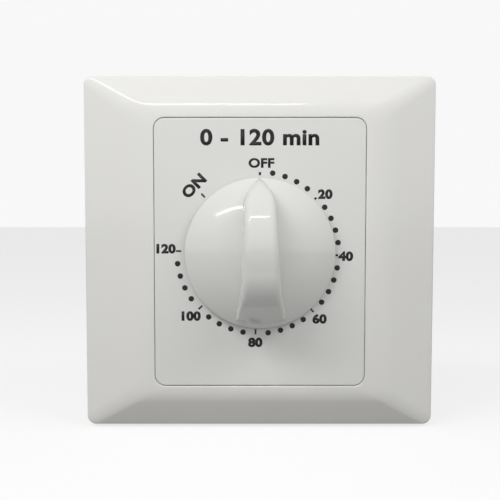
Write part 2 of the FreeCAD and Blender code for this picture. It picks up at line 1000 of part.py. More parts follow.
def gear_outline(teeth, module, addendum, dedendum, thickness):
    """A toothed outline: flanks from root to pitch circle, then narrowing to the tip."""
    pitch_r = module * teeth / 2
    root_r, tip_r = pitch_r - dedendum * module, pitch_r + addendum * module
    half = thickness * module / 2 / pitch_r
    points = []
    for k in range(teeth):
        middle = 2 * pi * k / teeth
        for r, a in (
            (root_r, -half * 1.1),
            (pitch_r, -half),
            (tip_r, -half * 0.35),
            (tip_r, half * 0.35),
            (pitch_r, half),
            (root_r, half * 1.1),
        ):
            points.append((r * sin(middle + a), r * cos(middle + a), 0))
    return outline(points)


def wheel_outline(teeth, module):
    return gear_outline(teeth, module, 1.0, 1.25, 1.42)


def pinion_outline(teeth, module):
    return gear_outline(teeth, module, 0.75, 1.3, 1.15)


def train_wheel(teeth, module, thickness, bore_r, hub_r):
    """A spoked brass wheel about the Y axis, from y 0."""
    body = sheet(wheel_outline(teeth, module), 0, thickness)
    rim_r = module * teeth / 2 - wheel_rim
    spokes = 4
    opening = ring(rim_r, hub_r + hub_web, 0, thickness)
    half = spoke_width / 2
    for k in range(spokes // 2):
        bar = block(-half, half, 0, thickness, -rim_r, rim_r)
        opening = opening.cut(placed(bar, (0, 0), 180.0 * k / 2))
    return body.cut(opening).cut(disc(bore_r, 0, thickness))


def shifted(shape, y):
    moved = shape.copy()
    moved.translate(FreeCAD.Vector(0, y, 0))
    return moved


def arbor(body_r, at=(0.0, 0.0)):
    """A steel arbor across the movement, a pivot in each plate."""
    pivots = disc(pivot_r, bearing_front + pivot_end, rear_back - pivot_end, at)
    body = disc(body_r, bearing_back + end_float, rear_front - end_float, at)
    return joined([pivots, body])


def mesh_turn(teeth, angle, driven_teeth, driver_turn=0.0):
    """The clockwise turn that puts a driven gear's gap on the driver's tooth. The angle
    is the direction from the driver's centre to the driven gear's centre."""
    past = (angle - driver_turn) * teeth / 360.0
    phase = past - int(past)
    step = 360.0 / driven_teeth
    return angle + 180.0 + step / 2 + phase * step


def pinion_arbor(at, turn, y0, y1):
    leaves = sheet(pinion_outline(pinion_teeth, pinion_module(at)), y0, y1)
    leaves = placed(leaves, at, turn)
    return joined([arbor(arbor_r, at), leaves])


def pinion_module(at):
    return module_a if at == second_at else module_b


def main_wheel():
    body = train_wheel(
        main_teeth, module_a, main_wheel_t, spindle_r + run_gap, clutch_seat_r - seat_over
    )
    return shifted(body, main_front)


second_turn = mesh_turn(main_teeth, train_angle_a, pinion_teeth)
third_turn = mesh_turn(second_teeth, train_angle_b, pinion_teeth, second_turn)
escape_turn = mesh_turn(third_teeth, train_angle_c, pinion_teeth, third_turn)


def second_wheel():
    body = train_wheel(second_teeth, module_b, wheel_t, arbor_r, arbor_r + hub_over)
    return shifted(placed(body, second_at, second_turn), rear_wheels_front)


def second_pinion():
    return pinion_arbor(
        second_at, second_turn, main_front - pinion_over, main_back + pinion_back_over
    )


def third_wheel():
    body = train_wheel(third_teeth, module_b, wheel_t, arbor_r, arbor_r + hub_over)
    return shifted(placed(body, third_at, third_turn), third_front)


def third_pinion():
    return pinion_arbor(
        third_at,
        third_turn,
        rear_wheels_front - pinion_over,
        rear_wheels_back + pinion_over,
    )


def escape_pinion():
    return pinion_arbor(
        escape_at, escape_turn, third_front - pinion_front_over, third_back + pinion_over
    )


def escape_wheel():
    """Fifteen slanted pointed teeth on a spoked rim."""
    step = 2 * pi / escape_teeth
    lean = radians(escape_drop_angle)
    points = []
    for k in range(escape_teeth):
        a = k * step
        for r, b in (
            (escape_root_r, a - step * 0.30),
            (escape_r, a + lean - 0.02),
            (escape_r, a + lean + 0.05),
            (escape_root_r, a + step * 0.16),
        ):
            points.append((r * sin(b), r * cos(b), 0))
    body = sheet(outline(points), 0, wheel_t)
    opening = ring(escape_root_r - escape_rim, arbor_r + escape_hub, 0, wheel_t)
    half = escape_spoke / 2
    bar = block(-half, half, 0, wheel_t, -escape_r, escape_r)
    opening = opening.cut(bar).cut(placed(bar, (0, 0), 90))
    body = body.cut(opening).cut(disc(arbor_r, 0, wheel_t))
    return shifted(placed(body, escape_at), rear_wheels_front)


# Lever and balance

pallet_way = degrees(atan2(escape_at[0] - lever_at[0], escape_at[1] - lever_at[1]))


def pallet_places():
    return [
        at_angle(pallet_reach, pallet_way + side * pallet_spread, lever_at)
        for side in (-1, 1)
    ]


def arm(start, end, width, y0, y1):
    """A flat bar with round ends between two points of the front view."""
    length = hypot(end[0] - start[0], end[1] - start[1])
    angle = degrees(atan2(end[0] - start[0], end[1] - start[1]))
    bar = block(-width / 2, width / 2, y0, y1, 0, length)
    ends = [disc(width / 2, y0, y1), disc(width / 2, y0, y1, (0, length))]
    return placed(joined([bar] + ends), start, angle)


def pallet_lever():
    y0, y1 = rear_wheels_front, rear_wheels_front + lever_t
    notch = lever_length + impulse_pin_r + fork_over
    fork = block(-fork_half - horn, fork_half + horn, y0, y1, notch - fork_depth, notch)
    gap = block(-fork_half, fork_half, y0, y1, notch - fork_depth + fork_web, notch)
    shank = block(-lever_width / 2, lever_width / 2, y0, y1, 0, notch - fork_depth)
    tail = placed(joined([shank, fork]).cut(gap), lever_at, balance_angle)
    pieces = [tail, disc(lever_width, y0, y1, lever_at)]
    for at in pallet_places():
        pieces.append(arm(lever_at, at, lever_width * 0.8, y0, y1))
        pieces.append(disc(pallet_pin_r, y0 - pallet_pin_over, y1, at))
    return joined(pieces).cut(disc(lever_arbor_r, y0, y1, lever_at))


def pallet_arbor():
    return arbor(lever_arbor_r, lever_at)


def balance_wheel():
    rim = ring(balance_r, balance_r - balance_rim, balance_front, balance_back)
    hub = disc(balance_hub_r, balance_front, balance_back)
    reach = balance_r - balance_rim / 2
    half = balance_spoke / 2
    front, back = balance_front + balance_web, balance_back - balance_web
    spoke = block(-reach, reach, front, back, -half, half)
    body = joined([rim, hub, spoke]).cut(disc(staff_r, balance_front, balance_back))
    return placed(body, balance_at)


def balance_staff():
    back = at_angle(impulse_reach, balance_angle + 180, balance_at)
    return joined(
        [
            arbor(staff_r, balance_at),
            disc(roller_r, balance_back, balance_back + roller_t, balance_at),
            disc(
                impulse_pin_r, balance_back, rear_wheels_front + lever_t + impulse_pin_over, back
            ),
        ]
    )


# Switch


def switching_cam():
    """The cam's notch lets the blade's nose drop, and the contacts part, at stop."""
    wheel = disc(cam_r, cam_front, cam_back)
    hub = disc(cam_hub_r, cam_front - cam_hub_front, cam_hub_back)
    notch = disc(nose_r + nose_gap, cam_front, cam_back, (blade_x, 0))
    bore = disc(spindle_r, cam_front - cam_hub_front, cam_hub_back)
    return joined([wheel.cut(notch), hub]).cut(bore)


def contact_bore(x0, x1):
    start = FreeCAD.Vector(x0, (blade_front + blade_back) / 2, contact_z)
    return Part.makeCylinder(contact_shank_r, x1 - x0, start, FreeCAD.Vector(1, 0, 0))


def moving_contact_blade():
    right = blade_x + blade_t
    strip = block(blade_x, right, blade_front, blade_back, blade_foot, blade_top)
    centre = (right, 0)
    nose = ring(nose_r + blade_t, nose_r, blade_front, blade_back, centre).cut(
        block(blade_x, right + nose_r + 1, blade_front, blade_back, -nose_r - 1, nose_r + 1)
    )
    hollow = disc(nose_r, blade_front, blade_back, centre)
    return joined([strip.cut(hollow), nose]).cut(contact_bore(blade_x, right))


def fixed_contact_blade():
    right = fixed_blade_x + fixed_blade_t
    strip = block(fixed_blade_x, right, blade_front, blade_back, blade_foot, blade_top)
    return strip.cut(contact_bore(fixed_blade_x, right))


def contact(face_x, blade_near, blade_far, back_x):
    """A silver contact rivet: a head on the blade's contact side, a flat one behind."""
    middle = (blade_front + blade_back) / 2
    way = FreeCAD.Vector(1, 0, 0)
    parts = []
    for x0, x1, r in (
        (min(face_x, blade_near), max(face_x, blade_near), contact_r),
        (min(blade_far, back_x), max(blade_far, back_x), contact_r * 0.75),
    ):
        start = FreeCAD.Vector(x0, middle, contact_z)
        parts.append(Part.makeCylinder(r, x1 - x0, start, way))
    low, high = min(blade_near, blade_far), max(blade_near, blade_far)
    parts.append(contact_bore(low, high))
    return joined(parts)


def moving_contact():
    right = blade_x + blade_t
    return contact(right + contact_t, right, blade_x, blade_x - contact_tail_t)


def fixed_contact():
    right = fixed_blade_x + fixed_blade_t
    return contact(fixed_blade_x - contact_t, fixed_blade_x, right, right + contact_tail_t)


def carrier_screw_places():
    z = (carrier_low + carrier_high) / 2
    between = (blade_x + blade_t + fixed_blade_x) / 2
    beside = fixed_blade_x + fixed_blade_t + carrier_side - carrier_screw_inset
    return [(between, z), (beside, z)]


def contact_carrier():
    left = blade_x - carrier_side - carrier_margin
    right = fixed_blade_x + fixed_blade_t + carrier_side + carrier_margin
    back = rear_back + carrier_depth
    body = block(left, right, rear_back, back, carrier_low, carrier_high)
    for x, t in ((blade_x, blade_t), (fixed_blade_x, fixed_blade_t)):
        body = body.cut(
            block(x, x + t, blade_front, blade_back, carrier_low, carrier_high)
        )
    for at in carrier_screw_places():
        body = body.cut(disc(small_screw_r, rear_back, back, at))
    return body


def carrier_screws():
    back = rear_back + carrier_depth
    return [
        screw(
            small_screw_r,
            carrier_depth + rear_plate_t,
            small_head_r,
            screw_head_t,
            FreeCAD.Vector(x, back, z),
            FreeCAD.Vector(0, -1, 0),
        )
        for x, z in carrier_screw_places()
    ]


# Terminals


def terminal_blocks():
    made = []
    half = terminal_size / 2
    middle = (terminal_front + floor_y) / 2
    for x in terminal_places():
        body = block(
            x - half, x + half, terminal_front, floor_y, blade_foot, terminal_z + half
        )
        bore = disc(
            terminal_bore_r, terminal_front + terminal_bore_end, floor_y, (x, terminal_z)
        )
        tapped = Part.makeCylinder(
            screw_r, half, FreeCAD.Vector(x, middle, blade_foot)
        )
        made.append(body.cut(bore).cut(tapped))
    return made


def terminal_screws():
    middle = (terminal_front + floor_y) / 2
    length = terminal_size / 2 - terminal_bore_r - screw_back_off
    return [
        screw(
            screw_r,
            length,
            terminal_head_r,
            screw_head_t,
            FreeCAD.Vector(x, middle, blade_foot),
            FreeCAD.Vector(0, 0, 1),
        )
        for x in terminal_places()
    ]


def save(name, shape):
    pieces = shape if isinstance(shape, list) else [shape]
    whole = Part.makeCompound(pieces) if len(pieces) > 1 else pieces[0]
    solids = len(whole.Solids)
    print(name, solids, "solid(s)", round(whole.Volume, 2), "mm3", whole.isValid())
    if len(pieces) == 1:
        whole = whole.Solids[0]
    whole.exportStep("parts/" + name + ".step")


os.makedirs("parts", exist_ok=True)

save("cover_frame", cover_frame())
save("inner_panel", inner_panel())
save("panel_screws", panel_screws())
save("mounting_yoke", mounting_yoke())
save("rear_housing", rear_housing())
save("housing_screws", housing_screws())

save("knob", knob())
save("knob_clip", clip_block())
save("spindle", spindle())
save("spindle_bush", spindle_bush())
save("clutch_spring", clutch_spring())
save("clutch_collar", ring(collar_r, spindle_r, collar_front, collar_back))
save("stop_arm", stop_arm())
save("switching_cam", switching_cam())
save("cam_clip", cam_clip())

save("front_bearing_plate", front_bearing_plate())
save("rear_bearing_plate", rear_bearing_plate())
save("plate_pillars", plate_pillars())
save("pillar_screws", pillar_screws())
save("stop_pin", stop_pin())
save("mainspring_cup", mainspring_cup())
save("mainspring", mainspring())

save("main_wheel", main_wheel())
save("second_wheel", second_wheel())
save("second_pinion", second_pinion())
save("third_wheel", third_wheel())
save("third_pinion", third_pinion())
save("escape_wheel", escape_wheel())
save("escape_pinion", escape_pinion())
save("pallet_lever", pallet_lever())
save("pallet_arbor", pallet_arbor())
save("balance_wheel", balance_wheel())
save("balance_staff", balance_staff())
save("hairspring", hairspring())
save("hairspring_stud", hairspring_stud())

save("moving_contact_blade", moving_contact_blade())
save("moving_contact", moving_contact())
save("fixed_contact_blade", fixed_contact_blade())
save("fixed_contact", fixed_contact())
save("contact_carrier", contact_carrier())
save("carrier_screws", carrier_screws())
save("terminal_blocks", terminal_blocks())
save("terminal_screws", terminal_screws())
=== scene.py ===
import bmesh
import bpy
import json
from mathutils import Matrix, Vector
from math import atan2, cos, hypot, pi, radians, sin, sqrt, tan


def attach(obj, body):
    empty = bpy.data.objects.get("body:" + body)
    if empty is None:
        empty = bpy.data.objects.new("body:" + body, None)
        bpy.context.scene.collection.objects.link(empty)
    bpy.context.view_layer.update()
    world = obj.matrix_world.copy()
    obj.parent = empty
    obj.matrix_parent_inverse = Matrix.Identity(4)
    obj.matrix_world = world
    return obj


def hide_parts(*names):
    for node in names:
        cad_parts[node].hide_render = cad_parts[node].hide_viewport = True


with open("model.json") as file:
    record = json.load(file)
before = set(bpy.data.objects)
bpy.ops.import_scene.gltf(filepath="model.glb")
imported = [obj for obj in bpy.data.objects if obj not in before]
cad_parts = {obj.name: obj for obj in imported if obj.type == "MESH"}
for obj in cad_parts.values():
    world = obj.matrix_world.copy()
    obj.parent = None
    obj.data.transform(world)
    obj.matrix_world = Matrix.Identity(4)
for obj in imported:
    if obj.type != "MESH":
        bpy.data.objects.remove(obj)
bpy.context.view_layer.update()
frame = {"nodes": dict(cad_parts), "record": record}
mm = 0.001
rodSteps = 48

print("timer switch: frame loaded")


# helpers for the modelling


def deselectAll():
    bpy.ops.object.select_all(action="DESELECT")


def activate(piece):
    deselectAll()
    piece.select_set(True)
    bpy.context.view_layer.objects.active = piece


def named(name):
    piece = bpy.context.object
    piece.name = name
    piece.data.name = name
    return piece


def settle():
    # leaves the object at the origin, unturned and unscaled
    bpy.ops.object.transform_apply(location=True, rotation=True, scale=True)


def pickKind(kind):
    kinds = ("VERT", "EDGE", "FACE")
    bpy.context.tool_settings.mesh_select_mode = tuple(kind == k for k in kinds)


def startEdit(piece, kind="VERT"):
    activate(piece)
    bpy.ops.object.mode_set(mode="EDIT")
    pickKind(kind)


def endEdit():
    bpy.ops.object.mode_set(mode="OBJECT")


def pickAll():
    bpy.ops.mesh.select_all(action="SELECT")


def pick(piece, kind, test):
    # selects the verts or faces that pass the test
    bpy.ops.mesh.select_all(action="DESELECT")
    net = bmesh.from_edit_mesh(piece.data)
    for item in getattr(net, kind):
        item.select = test(item)
    net.select_flush_mode()
    bmesh.update_edit_mesh(piece.data)


def faceOutward():
    pickAll()
    bpy.ops.mesh.normals_make_consistent(inside=False)


def applyModifiers(piece):
    activate(piece)
    for m in list(piece.modifiers):
        bpy.ops.object.modifier_apply(modifier=m.name)


def cutBy(piece, tool, way="DIFFERENCE"):
    m = piece.modifiers.new("cut", "BOOLEAN")
    m.operation = way
    m.solver = "EXACT"
    m.object = tool
    applyModifiers(piece)
    bpy.data.objects.remove(tool)


def smooth(piece, angle):
    # edges sharper than the angle stay crisp
    activate(piece)
    bpy.ops.object.shade_smooth_by_angle(angle=radians(angle))
    m = piece.modifiers.new("evenNormals", "WEIGHTED_NORMAL")
    m.keep_sharp = True
    applyModifiers(piece)


def joinInto(piece, others):
    activate(piece)
    for o in others:
        o.select_set(True)
    bpy.ops.object.join()
    return piece


def rod(name, radius, y0, y1, x=0.0):
    # a round bar along Y at x, in mm
    deselectAll()
    bpy.ops.mesh.primitive_cylinder_add(
        vertices=rodSteps,
        radius=radius * mm,
        depth=(y1 - y0) * mm,
        location=(x * mm, (y0 + y1) / 2 * mm, 0),
        rotation=(pi / 2, 0, 0),
    )
    settle()
    return named(name)


def brick(name, x0, x1, y0, y1, z0, z1):
    # a square block, in mm
    deselectAll()
    bpy.ops.mesh.primitive_cube_add(
        size=1,
        location=((x0 + x1) / 2 * mm, (y0 + y1) / 2 * mm, (z0 + z1) / 2 * mm),
        scale=((x1 - x0) * mm, (y1 - y0) * mm, (z1 - z0) * mm),
    )
    settle()
    return named(name)


def filleted(points, steps):
    # a path through (a, b, radius), with arc points at each rounded corner
    path = []
    for i, (a, b, r) in enumerate(points):
        if r == 0 or i in (0, len(points) - 1):
            path.append((a, b))
            continue
        (pa, pb, _), (na, nb, _) = points[i - 1], points[i + 1]
        inA, inB = (a - pa) / hypot(a - pa, b - pb), (b - pb) / hypot(a - pa, b - pb)
        outA, outB = (na - a) / hypot(na - a, nb - b), (nb - b) / hypot(na - a, nb - b)
        turn = atan2(inA * outB - inB * outA, inA * outA + inB * outB)
        cut = r * tan(abs(turn) / 2)
        side = 1 if turn > 0 else -1
        startA, startB = a - inA * cut, b - inB * cut
        midA, midB = startA - side * inB * r, startB + side * inA * r
        da, db = startA - midA, startB - midB
        for k in range(steps + 1):
            t = turn * k / steps
            path.append((midA + da * cos(t) - db * sin(t), midB + da * sin(t) + db * cos(t)))
    return path


# rounded rectangles: a ring is (half width, half height, corner radius, y), in mm


def ringPlane(name, ring, steps):
    halfX, halfZ, radius, y = ring
    deselectAll()
    bpy.ops.mesh.primitive_plane_add(size=2, rotation=(pi / 2, 0, 0))
    settle()
    piece = named(name)
    startEdit(piece)
    pickAll()
    bpy.ops.transform.resize(value=(halfX * mm, 1, halfZ * mm), center_override=(0, 0, 0))
    bpy.ops.transform.translate(value=(0, y * mm, 0))
    bpy.ops.mesh.bevel(
        affect="VERTICES",
        offset_type="OFFSET",
        offset=radius * mm,
        segments=steps,
        profile=0.5,
        clamp_overlap=False,
    )
    pickAll()
    return piece


def stepRing(piece, now, new):
    # extrudes the open face, then scales and moves each corner's arc to its new centre
    lift = (0, (new[3] - now[3]) * mm, 0)
    bpy.ops.mesh.extrude_region_move(TRANSFORM_OT_translate={"value": lift})
    net = bmesh.from_edit_mesh(piece.data)
    ring = {v.index for v in net.verts if v.select}
    grow = new[2] / now[2]
    for sx in (-1, 1):
        for sz in (-1, 1):
            pick(piece, "verts", lambda v: v.index in ring and v.co.x * sx > 0 and v.co.z * sz > 0)
            oldX, oldZ = sx * (now[0] - now[2]) * mm, sz * (now[1] - now[2]) * mm
            newX, newZ = sx * (new[0] - new[2]) * mm, sz * (new[1] - new[2]) * mm
            centre = (oldX, new[3] * mm, oldZ)
            bpy.ops.transform.resize(value=(grow, 1, grow), center_override=centre)
            bpy.ops.transform.translate(value=(newX - oldX, 0, newZ - oldZ))
    pick(piece, "verts", lambda v: v.index in ring)


def walkRings(piece, rings):
    for now, new in zip(rings, rings[1:]):
        stepRing(piece, now, new)


# helpers for the nodes


def feed(tree, value, socket):
    # a number is set on the socket, an output is linked to it
    if isinstance(value, (int, float)):
        socket.default_value = value
    else:
        tree.links.new(value, socket)


def addMath(tree, way, *values):
    node = tree.nodes.new("ShaderNodeMath")
    node.operation = way
    for k, value in enumerate(values):
        feed(tree, value, node.inputs[k])
    return node.outputs[0]


# camera and light

cameraSetup = {
    "place": (-0.0043, -0.2188, 0.0097),
    "down": 4.1,
    "lens": 63.1,
    "shift": (0.016, 0.051),
    "near": 0.005,
}


def placeCamera():
    s = cameraSetup
    deselectAll()
    bpy.ops.object.camera_add(location=s["place"], rotation=(pi / 2 - radians(s["down"]), 0, 0))
    eye = bpy.context.object
    eye.name = "photoCamera"
    eye.data.sensor_width = 36
    eye.data.lens = s["lens"]
    eye.data.shift_x, eye.data.shift_y = s["shift"]
    eye.data.clip_start = s["near"]
    bpy.context.scene.camera = eye


lightSetup = {
    "tubeAt": (-0.236, -0.385, 0.436),
    "tube": (0.576, 0.024),
    "tubePower": 0.62,
    "boxes": {
        "frontBox": (15, 0, 0.22),
        "leftBox": (42, -45, 0.56),
        "rightBox": (42, 45, 0.43),
    },
    "boxReach": 0.40,
    "box": (0.24, 0.14),
    "room": (1.0, 0.995, 0.98, 1),
    "front": 0.03,
    "sides": 0.80,
    "background": 0.94,
}


def placeLamp(name, place, aim, size, power):
    # the lamp looks along -aim
    deselectAll()
    turn = (-Vector(aim)).to_track_quat("-Z", "Y").to_euler()
    bpy.ops.object.light_add(type="AREA", location=place, rotation=turn)
    lamp = bpy.context.object
    lamp.name = name
    lamp.data.shape = "RECTANGLE"
    lamp.data.size, lamp.data.size_y = size
    lamp.data.energy = power
    return lamp


def placeLamps():
    # the tube lies level and gives the thin glints; a box is (degrees up, degrees right, power)
    s = lightSetup
    placeLamp("lightTube", s["tubeAt"], (0, *s["tubeAt"][1:]), s["tube"], s["tubePower"])
    for name, (up, right, power) in s["boxes"].items():
        level, height = s["boxReach"] * cos(radians(up)), s["boxReach"] * sin(radians(up))
        place = (level * sin(radians(right)), -level * cos(radians(right)), height)
        placeLamp(name, place, place, s["box"], power).visible_glossy = False


def lightRoom():
    # diffuse rays meet a room that glows most from the sides; all others see the pale backdrop
    s = lightSetup
    world = bpy.data.worlds.new("studio")
    bpy.context.scene.world = world
    world.use_nodes = True
    tree = world.node_tree
    tree.nodes.clear()
    out = tree.nodes.new("ShaderNodeOutputWorld")
    mix = tree.nodes.new("ShaderNodeMixShader")
    room = tree.nodes.new("ShaderNodeBackground")
    seen = tree.nodes.new("ShaderNodeBackground")
    path = tree.nodes.new("ShaderNodeLightPath")
    spot = tree.nodes.new("ShaderNodeTexCoord")
    parts = tree.nodes.new("ShaderNodeSeparateXYZ")
    tree.links.new(spot.outputs["Generated"], parts.inputs[0])
    across = addMath(tree, "MULTIPLY", parts.outputs["X"], parts.outputs["X"])
    glow = addMath(tree, "MULTIPLY_ADD", across, s["sides"], s["front"])
    tree.links.new(glow, room.inputs["Strength"])
    room.inputs["Color"].default_value = s["room"]
    seen.inputs["Color"].default_value = (1, 1, 1, 1)
    seen.inputs["Strength"].default_value = s["background"]
    shiny = addMath(tree, "MAXIMUM", path.outputs["Is Camera Ray"], path.outputs["Is Glossy Ray"])
    clear = addMath(tree, "MAXIMUM", shiny, path.outputs["Is Transmission Ray"])
    tree.links.new(clear, mix.inputs["Fac"])
    tree.links.new(room.outputs[0], mix.inputs[1])
    tree.links.new(seen.outputs[0], mix.inputs[2])
    tree.links.new(mix.outputs[0], out.inputs["Surface"])


floorSetup = {"below": -43.4, "reach": 3.0, "paint": 0.25, "bounce": 0.36, "seen": 0.76}


def layFloor():
    # pale to the camera, a darker plain paint to every other ray
    s = floorSetup
    deselectAll()
    bpy.ops.mesh.primitive_plane_add(size=2 * s["reach"], location=(0, 0, s["below"] * mm))
    settle()
    floor = named("studioFloor")
    paint = bpy.data.materials.new("studioFloor")
    paint.use_nodes = True
    tree = paint.node_tree
    tree.nodes.clear()
    out = tree.nodes.new("ShaderNodeOutputMaterial")
    mix = tree.nodes.new("ShaderNodeMixShader")
    both = tree.nodes.new("ShaderNodeAddShader")
    plain = tree.nodes.new("ShaderNodeBsdfDiffuse")
    dim = tree.nodes.new("ShaderNodeBsdfDiffuse")
    glow = tree.nodes.new("ShaderNodeEmission")
    path = tree.nodes.new("ShaderNodeLightPath")
    plain.inputs["Color"].default_value = (s["paint"], s["paint"], s["paint"], 1)
    dim.inputs["Color"].default_value = (s["bounce"], s["bounce"], s["bounce"], 1)
    glow.inputs["Strength"].default_value = s["seen"]
    tree.links.new(plain.outputs[0], both.inputs[0])
    tree.links.new(glow.outputs[0], both.inputs[1])
    tree.links.new(path.outputs["Is Camera Ray"], mix.inputs["Fac"])
    tree.links.new(dim.outputs[0], mix.inputs[1])
    tree.links.new(both.outputs[0], mix.inputs[2])
    tree.links.new(mix.outputs[0], out.inputs["Surface"])
    floor.data.materials.append(paint)


placeCamera()
placeLamps()
lightRoom()
layFloor()
bpy.context.scene.view_settings.view_transform = "Standard"
print("timer switch: camera, lamps and floor placed")


# shared effects, as node groups


def newGroup(name, inputs, outputs):
    group = bpy.data.node_groups.new(name, "ShaderNodeTree")
    kinds = {"Colour": "NodeSocketColor", "Normal": "NodeSocketVector"}
    for label, value in inputs.items():
        kind = kinds.get(label, "NodeSocketFloat")
        socket = group.interface.new_socket(name=label, in_out="INPUT", socket_type=kind)
        socket.default_value = value
    for label in outputs:
        kind = kinds.get(label, "NodeSocketFloat")
        group.interface.new_socket(name=label, in_out="OUTPUT", socket_type=kind)
    given = group.nodes.new("NodeGroupInput")
    result = group.nodes.new("NodeGroupOutput")
    return group, given, result


def addNoise(tree, spot, scale, detail, stretch=None):
    # noise on the object's own coordinates, stretched along one way if asked
    source = spot.outputs["Object"]
    if stretch:
        turn = tree.nodes.new("ShaderNodeMapping")
        turn.inputs["Scale"].default_value = stretch
        tree.links.new(source, turn.inputs["Vector"])
        source = turn.outputs["Vector"]
    noise = tree.nodes.new("ShaderNodeTexNoise")
    noise.inputs["Detail"].default_value = detail
    feed(tree, scale, noise.inputs["Scale"])
    tree.links.new(source, noise.inputs["Vector"])
    return noise.outputs["Fac"]


def addSpread(tree, noise, middle, spread):
    # middle + (noise - 0.5) * spread
    away = addMath(tree, "SUBTRACT", noise, 0.5)
    return addMath(tree, "MULTIPLY_ADD", away, spread, middle)


def addSkin(tree, given, result, toneNoise, glossNoise, grainNoise):
    # turns three noises into the group's colour, roughness and normal
    tone = tree.nodes.new("ShaderNodeHueSaturation")
    tree.links.new(addSpread(tree, toneNoise, 1.0, given.outputs["Mottle"]), tone.inputs["Value"])
    tree.links.new(given.outputs["Colour"], tone.inputs["Color"])
    tree.links.new(tone.outputs["Color"], result.inputs["Colour"])
    gloss = addSpread(tree, glossNoise, given.outputs["Gloss"], given.outputs["Gloss Spread"])
    tree.links.new(gloss, result.inputs["Roughness"])
    bump = tree.nodes.new("ShaderNodeBump")
    bump.inputs["Strength"].default_value = 1.0
    tree.links.new(given.outputs["Grain Height"], bump.inputs["Distance"])
    tree.links.new(grainNoise, bump.inputs["Height"])
    tree.links.new(bump.outputs["Normal"], result.inputs["Normal"])


# noise is (scale, detail, stretch); the grain's scale comes from the group's own input

mouldedSetup = {
    "inputs": {
        "Colour": (0.8, 0.8, 0.8, 1),
        "Mottle": 0.03,
        "Gloss": 0.3,
        "Gloss Spread": 0.06,
        "Grain Scale": 1800.0,
        "Grain Height": 0.000002,
    },
    "tone": (90.0, 3.0),
    "gloss": (240.0, 2.0),
    "grain": (2.0,),
}
brushedSetup = {
    "inputs": {
        "Colour": (0.6, 0.6, 0.6, 1),
        "Mottle": 0.25,
        "Gloss": 0.3,
        "Gloss Spread": 0.2,
        "Grain Scale": 900.0,
        "Grain Height": 0.000004,
    },
    "tone": (160.0, 5.0),
    "gloss": (500.0, 3.0, (0.08, 1, 1)),
    "grain": (2.0, (0.05, 1, 1)),
}


def makeSkin(name, s):
    group, given, result = newGroup(name, s["inputs"], ("Colour", "Roughness", "Normal"))
    spot = group.nodes.new("ShaderNodeTexCoord")
    tone = addNoise(group, spot, *s["tone"])
    gloss = addNoise(group, spot, *s["gloss"])
    grain = addNoise(group, spot, given.outputs["Grain Scale"], *s["grain"])
    addSkin(group, given, result, tone, gloss, grain)
    return group


# moulded: faint flow mottle, uneven gloss, fine grain; brushed: long strokes along X and tarnish

mouldedSkin = makeSkin("mouldedSkin", mouldedSetup)
brushedSkin = makeSkin("brushedSkin", brushedSetup)


# a look is (colour, gloss, mottle, grain scale, grain height)

lookLabels = ("Colour", "Gloss", "Mottle", "Grain Scale", "Grain Height")


def newFinish(name, group, look, **sockets):
    # a material: the shader stays here, the group feeds colour, roughness and normal
    paint = bpy.data.materials.new(name)
    paint.use_nodes = True
    tree = paint.node_tree
    shader = tree.nodes["Principled BSDF"]
    skin = tree.nodes.new("ShaderNodeGroup")
    skin.node_tree = group
    for label, value in zip(lookLabels, look):
        skin.inputs[label].default_value = (*value, 1) if label == "Colour" else value
    tree.links.new(skin.outputs["Colour"], shader.inputs["Base Color"])
    tree.links.new(skin.outputs["Roughness"], shader.inputs["Roughness"])
    tree.links.new(skin.outputs["Normal"], shader.inputs["Normal"])
    for label, value in sockets.items():
        shader.inputs[label].default_value = value
    paint.diffuse_color = (*look[0], 1)
    return paint


def plasticFinish(name, *look):
    return newFinish(name, mouldedSkin, look, IOR=1.5)


def metalFinish(name, *look):
    return newFinish(name, brushedSkin, look, Metallic=1.0)


finishes = {
    "frame_white": plasticFinish("frameWhite", (0.83, 0.825, 0.80), 0.12, 0.02, 1400.0, 5e-7),
    "panel_white": plasticFinish("panelWhite", (0.79, 0.79, 0.77), 0.30, 0.02, 2200.0, 1e-6),
    "knob_white": plasticFinish("knobWhite", (0.76, 0.76, 0.74), 0.09, 0.02, 1400.0, 5e-7),
    "yoke_white": plasticFinish("yokeWhite", (0.80, 0.80, 0.76), 0.50, 0.04, 2600.0, 4e-6),
    "housing_white": plasticFinish("housingWhite", (0.78, 0.78, 0.74), 0.48, 0.05, 2400.0, 4e-6),
    "phenolic": plasticFinish("pressedResin", (0.14, 0.05, 0.02), 0.42, 0.50, 1200.0, 6e-6),
    "nylon": plasticFinish("naturalNylon", (0.72, 0.68, 0.56), 0.45, 0.06, 1500.0, 3e-6),
    "steel": metalFinish("zincSteel", (0.56, 0.57, 0.58), 0.34, 0.25, 900.0, 4e-6),
    "spring_steel": metalFinish("springSteel", (0.22, 0.24, 0.30), 0.28, 0.35, 1100.0, 3e-6),
    "brass": metalFinish("stampedBrass", (0.70, 0.50, 0.20), 0.30, 0.22, 1000.0, 4e-6),
    "silver": metalFinish("satinSilver", (0.80, 0.79, 0.76), 0.26, 0.12, 1400.0, 3e-6),
}
dialInk = plasticFinish("dialInk", (0.012, 0.012, 0.013), 0.45, 0.30, 3000.0, 1e-6)


def dress(piece, slot):
    piece.data.materials.clear()
    piece.data.materials.append(finishes[slot])


print("timer switch: finishes made")


# cover frame: one skin from the wall over the slope and the fold, into the window and back

